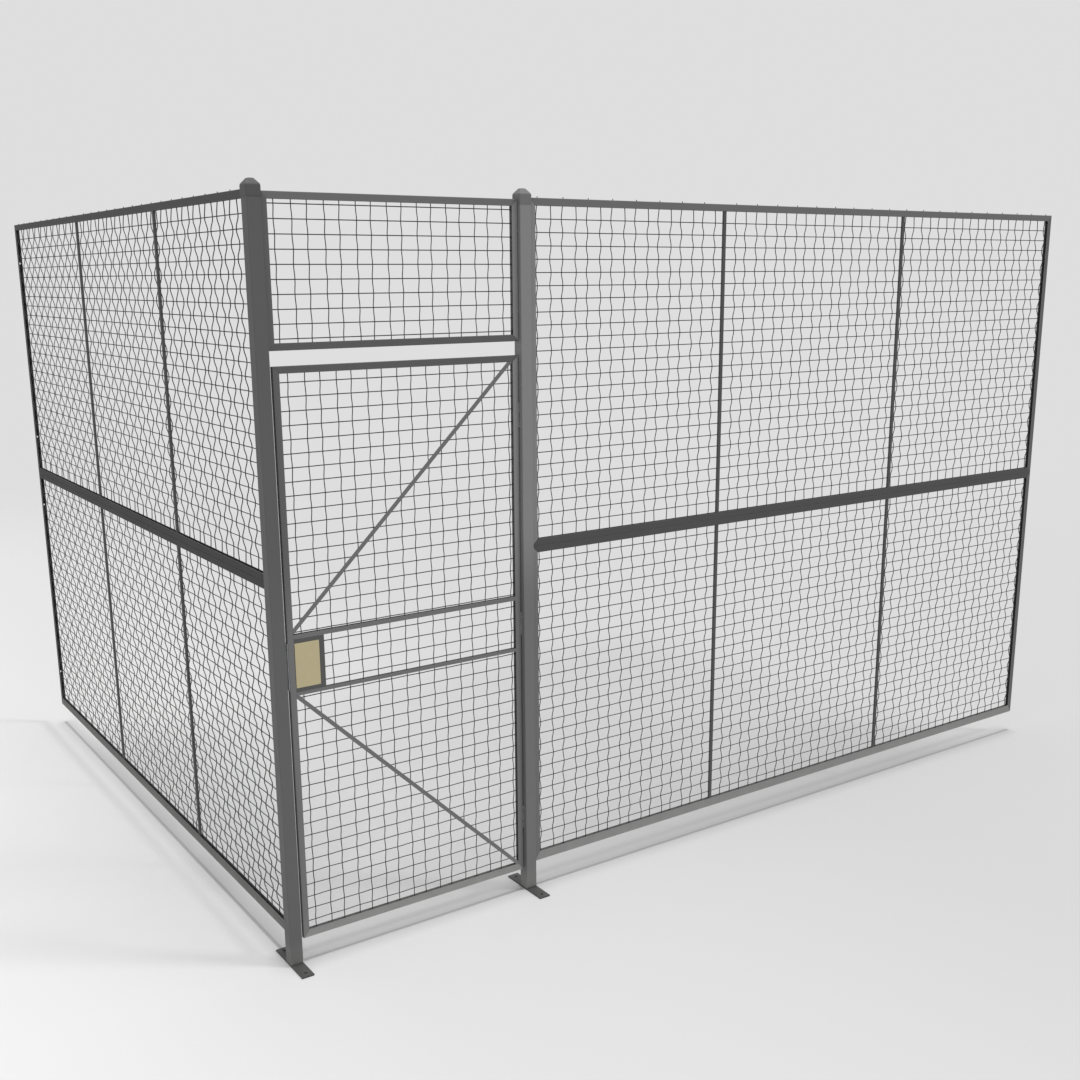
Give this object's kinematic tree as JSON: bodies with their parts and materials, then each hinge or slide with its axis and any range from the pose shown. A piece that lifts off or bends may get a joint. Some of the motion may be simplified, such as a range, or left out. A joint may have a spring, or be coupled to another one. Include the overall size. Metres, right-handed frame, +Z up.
{
  "type": "wire mesh partition with door",
  "caption": "Corner partition of woven wire mesh panels in channel frames on two posts, with a hinged mesh door, a transom over it and a spring latch.",
  "frame": {"origin": "centre of the underside of the corner post's foot plate, on the floor", "axes": "+X along the door and the right wall, +Y along the left wall, +Z up"},
  "size_m": [3.9574, 3.0793, 2.569],
  "materials": {
    "post_paint": "satin",
    "cap_paint": "satin",
    "frame_paint": "satin",
    "wire": "satin",
    "tan_plate": "matte",
    "zinc": "satin",
    "knob": "satin"
  },
  "bodies": {
    "partition": {"corner_post": "post_paint", "hinge_post": "post_paint", "corner_post_cap": "cap_paint", "hinge_post_cap": "cap_paint", "corner_foot_plate": "post_paint", "hinge_foot_plate": "post_paint", "left_lower_frame": "frame_paint", "left_lower_mesh": "wire", "left_lower_bars": "frame_paint", "left_upper_frame": "frame_paint", "left_upper_mesh": "wire", "left_upper_bars": "frame_paint", "right_lower_frame": "frame_paint", "right_lower_mesh": "wire", "right_lower_bars": "frame_paint", "right_upper_frame": "frame_paint", "right_upper_mesh": "wire", "right_upper_bars": "frame_paint", "transom_frame": "frame_paint", "transom_mesh": "wire", "panel_bolts": "zinc", "panel_spacers": "zinc", "seam_bolts": "zinc", "seam_nuts": "zinc", "post_hinge_leaves": "post_paint", "post_hinge_screws": "zinc", "hinge_pins": "zinc", "strike_plate": "zinc", "strike_screws": "zinc"},
    "door": {"door_frame": "frame_paint", "door_mesh": "wire", "door_hinge_leaves": "post_paint", "door_hinge_screws": "zinc", "upper_lock_bar": "frame_paint", "lower_lock_bar": "frame_paint", "upper_brace": "frame_paint", "lower_brace": "frame_paint", "lock_box": "frame_paint", "outside_lock_plate": "tan_plate", "inside_lock_plate": "tan_plate", "lock_forend": "zinc", "forend_screws": "zinc", "lock_case": "zinc", "lock_case_cover": "zinc", "return_spring": "zinc"},
    "latch": {"latch_bolt": "zinc"},
    "turn": {"lock_hub": "zinc", "inside_turn": "knob"}
  },
  "joints": [
    {"name": "door_hinge", "type": "hinge", "parent": "partition", "child": "door", "pos_m": [0.93995, 0.0285, 1.05], "axis": [0, 0, -1], "range_deg": [0, 170]},
    {"name": "inside_turn_pivot", "type": "hinge", "parent": "door", "child": "turn", "pos_m": [0.09825, 0, 1.037], "axis": [0, 1, 0], "range_deg": [0, 60]},
    {"name": "latch_slide", "type": "slide", "parent": "door", "child": "latch", "axis": [1, 0, 0], "range_m": [0, 0.019], "stiffness_N_per_m": 120, "springref_m": -0.02}
  ],
  "couplings": [
    {"joint": "inside_turn_pivot", "follows": "latch_slide", "rad_per_m": 55.115}
  ]
}
